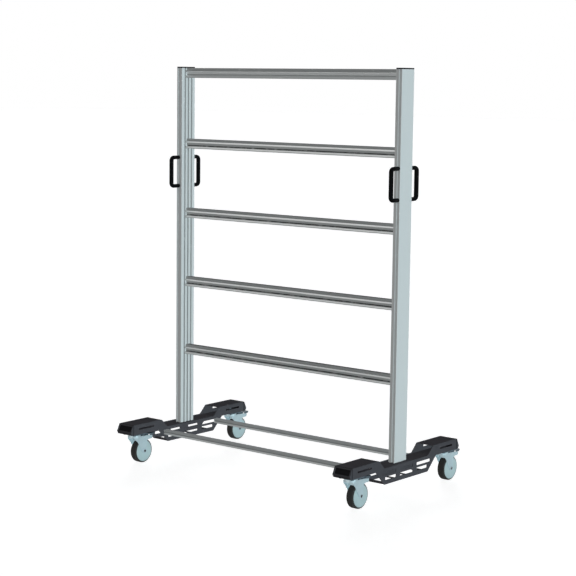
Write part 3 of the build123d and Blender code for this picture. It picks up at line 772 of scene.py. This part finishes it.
def mark_panels(bm):
    """Mark the sunk panels in the leaning faces of the end caps for painted shade."""
    zone = bm.faces.layers.float.new("recess")
    for outward in (-1, 1):
        leaning = [face for face in bm.faces
                   if face.normal.y * outward > PANEL_OUTWARD and face.normal.z > PANEL_UPWARD]
        lean = max(leaning, key=lambda face: face.calc_area()).normal.copy()
        flat = [face for face in leaning if face.normal.dot(lean) > SAME_PLANE]
        depths = [lean.dot(face.calc_center_median()) for face in flat]
        for face, depth in zip(flat, depths):
            face[zone] = 1.0 if max(depths) - depth > PANEL_START else 0.0


def mark_seam(bm, reach):
    """Mark painted shade on the strip of an end cap next to the foot's walls, up to a distance from the
    middle.
    """
    for outward in (-1, 1):
        bmesh.ops.bisect_plane(bm, geom=[*bm.verts, *bm.edges, *bm.faces],
                               plane_co=(0, outward * reach, 0), plane_no=(0, 1, 0))
    zone = bm.faces.layers.float["recess"]
    for face in bm.faces:
        if abs(face.calc_center_median().y) < reach:
            face[zone] = 1.0


class CART_OT_foot_end_caps(bpy.types.Operator):
    """Moulded caps on the ends of the feet"""

    bl_idname = "cart.foot_end_caps"
    bl_label = "Foot end caps"

    def execute(self, context):
        for side in SIDES:
            node = f"{side}_foot_end_caps"
            bm = node_mesh(node)
            round_edges(bm, context.scene.cart_sizes.moulded_round, FINE_SEGMENTS)
            # Painted shade on the sunk panels and along the seam next to the walls
            mark_panels(bm)
            mark_seam(bm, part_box(f"{side}_foot_outer_wall")[1].y + SEAM_WIDTH)
            add_piece(bm, node, "end_cap_moulding")
        return {"FINISHED"}


def drawn_out(bm, loop, shift):
    """Extrude a loop of edges and move its copy on; gives the new loop."""
    made = bmesh.ops.extrude_edge_only(bm, edges=loop)["geom"]
    verts = [part for part in made if isinstance(part, bmesh.types.BMVert)]
    bmesh.ops.translate(bm, verts=verts, vec=shift)
    return [part for part in made if isinstance(part, bmesh.types.BMEdge) and
            part.verts[0] in verts and part.verts[1] in verts]


def bent(bm, loop, centre, outward, steps):
    """Spin a loop of edges a quarter turn about a line along X; gives the new loop."""
    ring = list(dict.fromkeys(vert for edge in loop for vert in edge.verts))
    made = bmesh.ops.spin(bm, geom=ring + loop, cent=centre, axis=(outward, 0, 0),
                          angle=QUARTER_TURN, steps=steps)["geom_last"]
    return [part for part in made if isinstance(part, bmesh.types.BMEdge)]


def bent_handle(node, sizes):
    """Oval bar that leaves the upright's face, bends twice and comes back."""
    low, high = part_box(node)
    half_width = (high.x - low.x) / 2
    half_thick = sizes.handle_thickness / 2
    outward = 1 if low.y > 0 else -1
    face = low.y if outward > 0 else high.y
    line = (high.y if outward > 0 else low.y) - outward * half_thick
    bend_y = line - outward * sizes.handle_bend
    low_bend = low.z + half_thick + sizes.handle_bend
    high_bend = high.z - half_thick - sizes.handle_bend
    bm = bmesh.new()
    ring = bmesh.ops.create_circle(
        bm, cap_ends=False, radius=half_width, segments=sizes.handle_sides)["verts"]
    bmesh.ops.scale(bm, verts=ring, vec=(1, half_thick / half_width, 1))
    bmesh.ops.rotate(bm, verts=ring, cent=(0, 0, 0), matrix=Matrix.Rotation(QUARTER_TURN, 3, "X"))
    bmesh.ops.translate(bm, verts=ring, vec=((low.x + high.x) / 2, face, low.z + half_thick))
    loop = list(bm.edges)
    loop = drawn_out(bm, loop, (0, bend_y - face, 0))
    loop = bent(bm, loop, (0, bend_y, low_bend), outward, sizes.bend_steps)
    loop = drawn_out(bm, loop, (0, 0, high_bend - low_bend))
    loop = bent(bm, loop, (0, bend_y, high_bend), outward, sizes.bend_steps)
    drawn_out(bm, loop, (0, face - bend_y, 0))
    bmesh.ops.holes_fill(bm, edges=bm.edges)
    bmesh.ops.recalc_face_normals(bm, faces=bm.faces)
    return bm


class CART_OT_handles(bpy.types.Operator):
    """Bow handles, each bent from one oval bar"""

    bl_idname = "cart.handles"
    bl_label = "Handles"

    def execute(self, context):
        for corner in CORNERS:
            node = f"{corner}_handle"
            bm = bent_handle(node, context.scene.cart_sizes)
            add_piece(bm, node, "handle_moulding")
        return {"FINISHED"}


class CART_OT_wheels(bpy.types.Operator):
    """Moulded wheel bodies with softened edges"""

    bl_idname = "cart.wheels"
    bl_label = "Wheels"

    def execute(self, context):
        for corner in CORNERS:
            node = f"{corner}_wheel"
            bm = node_mesh(node)
            round_edges(bm, context.scene.cart_sizes.fork_round, sharpest=WHEEL_SHARP_ANGLE)
            add_piece(bm, node, "wheel_moulding")
        return {"FINISHED"}


class CART_OT_tyres(bpy.types.Operator):
    """Rubber tyres with scuffed treads"""

    bl_idname = "cart.tyres"
    bl_label = "Tyres"

    def execute(self, context):
        for corner in CORNERS:
            node = f"{corner}_tyre"
            bm = node_mesh(node)
            mark_faces(bm, "tread_rub", lambda face: abs(face.normal.x) < TREAD_SLANT)
            add_piece(bm, node, "tyre_tread")
        return {"FINISHED"}


class CART_OT_forks(bpy.types.Operator):
    """Pressed and plated forks"""

    bl_idname = "cart.forks"
    bl_label = "Forks"

    def execute(self, context):
        for corner in CORNERS:
            node = f"{corner}_fork"
            bm = node_mesh(node)
            round_edges(bm, context.scene.cart_sizes.fork_round, FINE_SEGMENTS)
            mark_faces(bm, "cut_edge", lambda face: abs(face.normal.x) < CUT_EDGE_SLANT)
            add_piece(bm, node, "zinc_plating")
        return {"FINISHED"}


class CART_OT_brake_levers(bpy.types.Operator):
    """Brake levers with their pedals"""

    bl_idname = "cart.brake_levers"
    bl_label = "Brake levers"

    def execute(self, context):
        width = context.scene.cart_sizes.small_round
        for corner in CORNERS:
            rounded_piece(f"{corner}_brake_lever", width, "lever_plating")
        return {"FINISHED"}


def mark_sockets(bm, corner):
    """Mark the sockets in the ends of an axle for painted shade with some grime."""
    low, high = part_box(f"{corner}_wheel")
    centre = (low + high) / 2
    mark_faces(bm, "recess", lambda face: (face.calc_center_median() - centre).yz.length < SOCKET_REACH)


class CART_OT_fasteners(bpy.types.Operator):
    """Axles, caster plates, screws, nuts and pins"""

    bl_idname = "cart.fasteners"
    bl_label = "Fasteners"

    def execute(self, context):
        width = context.scene.cart_sizes.small_round
        for corner in CORNERS:
            # The caster plates take the dark lever plating as painted shade under the feet
            rounded_piece(f"{corner}_caster_plate", width, "lever_plating")
            node = f"{corner}_axle"
            bm = node_mesh(node)
            round_edges(bm, width)
            mark_sockets(bm, corner)
            add_piece(bm, node, "screw_plating")
        # The caster bolts and nuts take the dark lever plating as painted shade
        for nodes, finish in ((FRAME_FASTENERS, "screw_plating"), (SHADED_CASTER_FASTENERS, "lever_plating")):
            for node in nodes:
                frame["nodes"][node].material_slots[0].material = finish_of(finish)
        return {"FINISHED"}


# Stage


def sun(name, strength, direction, softness, colour, shadows=False):
    """Soft lamp that shines from a direction."""
    light = bpy.data.lights.new(name, "SUN")
    light.energy = strength
    light.angle = softness
    light.color = colour
    light.use_shadow = shadows
    lamp = bpy.data.objects.new(name, light)
    lamp.rotation_mode = "QUATERNION"
    lamp.rotation_quaternion = Vector(direction).to_track_quat("Z", "Y")
    bpy.context.scene.collection.objects.link(lamp)
    return lamp


def link_floor(lamp, floor, state):
    """Let a lamp light the floor alone, or all but the floor."""
    group = bpy.data.collections.new(f"{lamp.name}_floor")
    group.objects.link(floor)
    group.collection_objects[0].light_linking.link_state = state
    lamp.light_linking.receiver_collection = group


def seen_white(tree):
    """Factor that is 1 for the camera's rays and those that glossy and clear surfaces send on."""
    path = add_node(tree, "ShaderNodeLightPath")
    first = add_node(tree, "ShaderNodeMath", operation="MAXIMUM")
    second = add_node(tree, "ShaderNodeMath", operation="MAXIMUM")
    tree.links.new(path.outputs["Is Camera Ray"], first.inputs[0])
    tree.links.new(path.outputs["Is Glossy Ray"], first.inputs[1])
    tree.links.new(first.outputs[0], second.inputs[0])
    tree.links.new(path.outputs["Is Transmission Ray"], second.inputs[1])
    return second.outputs[0]


def build_world(settings):
    """White background with a lower level of light from all round."""
    world = bpy.data.worlds.new("cart_world")
    world.use_nodes = True
    bpy.context.scene.world = world
    tree = world.node_tree
    background = tree.nodes["Background"]
    background.inputs["Color"].default_value = WHITE
    level = mapped_range(tree, seen_white(tree), low=settings.ambient, high=1.0)
    tree.links.new(level, background.inputs["Strength"])


def build_floor(settings):
    """Wide pale floor that keeps the cart's shadow."""
    bm = bmesh.new()
    bmesh.ops.create_grid(bm, x_segments=1, y_segments=1, size=FLOOR_HALF)
    mesh = bpy.data.meshes.new("floor")
    bm.to_mesh(mesh)
    bm.free()
    material, tree, shader = new_material(
        "floor_white", Base_Color=(*settings.floor_colour, 1), Emission_Color=WHITE,
        Roughness=0.9, Specular_IOR_Level=0.0)
    glow = product(tree, seen_white(tree), settings.floor_glow)
    tree.links.new(glow, shader.inputs["Emission Strength"])
    mesh.materials.append(material)
    floor = bpy.data.objects.new("floor", mesh)
    bpy.context.scene.collection.objects.link(floor)
    return floor


def build_camera(settings):
    """Camera that stands and looks as its settings say."""
    camera = bpy.data.cameras.new("camera")
    camera.lens = settings.lens
    camera.sensor_width = SENSOR_WIDTH
    camera.clip_end = VIEW_REACH
    viewer = bpy.data.objects.new("camera", camera)
    turn = (Matrix.Rotation(settings.camera_yaw, 4, "Z")
            @ Matrix.Rotation(QUARTER_TURN - settings.camera_pitch, 4, "X")
            @ Matrix.Rotation(settings.camera_roll, 4, "Z"))
    viewer.matrix_world = Matrix.Translation(settings.camera_place) @ turn
    bpy.context.scene.collection.objects.link(viewer)
    bpy.context.scene.camera = viewer


def build_lamps(settings, floor):
    """Lamps on the cart, which cast no shadows, and one on the floor alone for its soft shadow."""
    sun("key_lamp", settings.key_strength, KEY_FROM, NARROW_LAMP, KEY_COLOUR)
    sun("front_lamp", settings.front_strength, FRONT_FROM, NARROW_LAMP, FRONT_COLOUR)
    fill = sun("fill_lamp", settings.fill_strength, FILL_FROM, WIDE_LAMP, FILL_COLOUR)
    fill.visible_glossy = False
    link_floor(fill, floor, "EXCLUDE")
    lone = sun("floor_lamp", settings.fill_strength, FILL_FROM, WIDE_LAMP, FILL_COLOUR, shadows=True)
    link_floor(lone, floor, "INCLUDE")


class CART_OT_stage(bpy.types.Operator):
    """Camera, lamps, world and floor"""

    bl_idname = "cart.stage"
    bl_label = "Stage"

    def execute(self, context):
        settings = context.scene.cart_stage
        context.scene.view_settings.view_transform = "Standard"
        build_world(settings)
        floor = build_floor(settings)
        build_camera(settings)
        build_lamps(settings, floor)
        return {"FINISHED"}


class CART_PT_panel(bpy.types.Panel):
    """Lists the cart's pieces"""

    bl_idname = "CART_PT_panel"
    bl_label = "Transport cart"
    bl_space_type = "VIEW_3D"
    bl_region_type = "UI"
    bl_category = "Cart"

    def draw(self, context):
        for operator in OPERATORS:
            self.layout.operator(operator.bl_idname)


OPERATORS = (
    CART_OT_stage,
    CART_OT_uprights,
    CART_OT_upright_caps,
    CART_OT_bin_rails,
    CART_OT_tie_rails,
    CART_OT_feet,
    CART_OT_foot_end_caps,
    CART_OT_handles,
    CART_OT_wheels,
    CART_OT_tyres,
    CART_OT_forks,
    CART_OT_brake_levers,
    CART_OT_fasteners,
)
SETTINGS = {"cart_sizes": CartSizes, "cart_colours": CartColours, "cart_stage": CartStage}
CLASSES = (*SETTINGS.values(), *OPERATORS, CART_PT_panel)


def register():
    for item in CLASSES:
        bpy.utils.register_class(item)
    for name, group in SETTINGS.items():
        setattr(bpy.types.Scene, name, PointerProperty(type=group))


def unregister():
    for name in SETTINGS:
        delattr(bpy.types.Scene, name)
    for item in reversed(CLASSES):
        bpy.utils.unregister_class(item)


def main():
    register()
    for operator in OPERATORS:
        family, name = operator.bl_idname.split(".")
        getattr(getattr(bpy.ops, family), name)()


if __name__ == "__main__":
    main()
